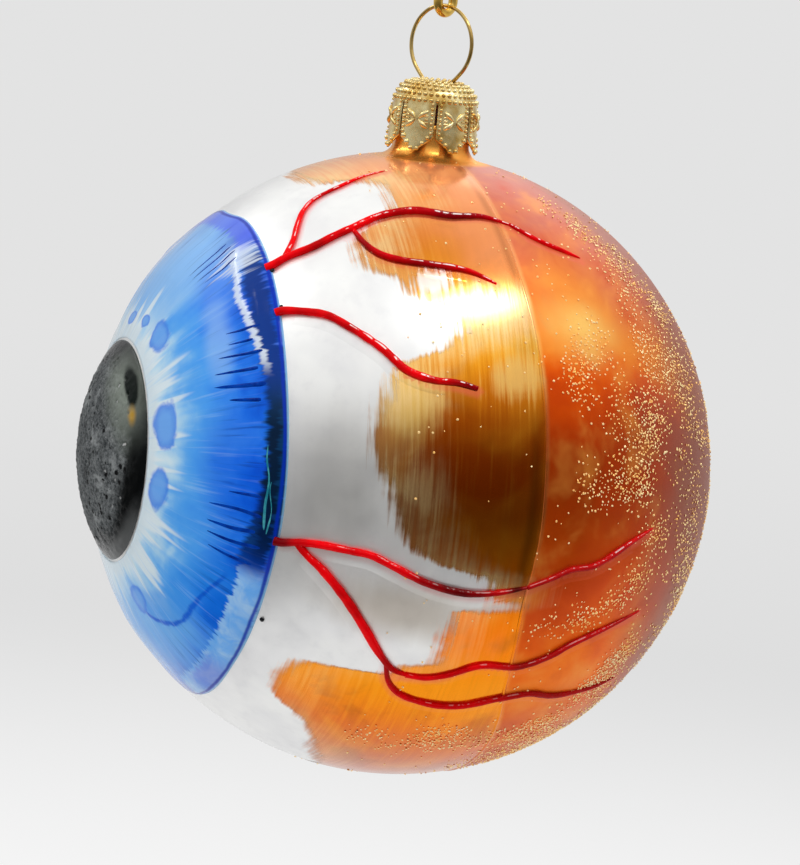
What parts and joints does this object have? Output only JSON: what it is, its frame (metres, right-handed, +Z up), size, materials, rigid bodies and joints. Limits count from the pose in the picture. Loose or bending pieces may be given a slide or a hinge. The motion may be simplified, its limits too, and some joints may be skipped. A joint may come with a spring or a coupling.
{
  "type": "glass eyeball ornament",
  "caption": "Blown glass eyeball on a hanging ring: silvered globe with iris, pupil, raised veins and amber back, stamped crown cap, spring-wire ring and chain link.",
  "frame": {"origin": "inner top of the chain link's eye, where a hook, cord or next link carries the part", "axes": "+Z up along the neck, the link and the ring; the eye looks along -Y; +X is the side that the picture shows"},
  "size_m": [0.0804, 0.0828, 0.1054],
  "materials": {
    "gold_link": "bright gold-coloured wire",
    "gold_wire": "bright drawn wire",
    "gold_cap": "bright stamped thin sheet",
    "pearl_glass": "silvered inside, satin pearl white outside",
    "amber_lacquer": "transparent amber lacquer over silvered glass",
    "iris_enamel": "glossy blue enamel with hand-drawn strokes",
    "pupil_enamel": "black enamel with a gritty front",
    "vein_enamel": "glossy raised red enamel"
  },
  "bodies": {
    "link": {"chain_link": "gold_link"},
    "hanger": {"hanger_wire": "gold_wire"},
    "cap": {"crown_cap": "gold_cap"},
    "globe": {"glass_globe": "pearl_glass", "amber_coat": "amber_lacquer", "iris_coat": "iris_enamel", "pupil_coat": "pupil_enamel", "vein_upper_right": "vein_enamel", "vein_middle_right": "vein_enamel", "vein_lower_right": "vein_enamel", "vein_upper_left": "vein_enamel", "vein_middle_left": "vein_enamel", "vein_lower_left": "vein_enamel"}
  },
  "joints": [
    {"name": "ring_swing", "type": "hinge", "parent": "link", "child": "hanger", "pos_m": [0, 0, -0.0051], "axis": [0.8572, 0.515, 0], "range_deg": [-80, 80]},
    {"name": "ring_rock", "type": "hinge", "parent": "hanger", "child": "cap", "pos_m": [0, 0, -0.0148], "axis": [0.8572, 0.515, 0], "range_deg": [-8, 8]},
    {"name": "globe_pull", "type": "slide", "parent": "cap", "child": "globe", "axis": [0, 0, -1], "range_m": [0, 0.022]}
  ]
}
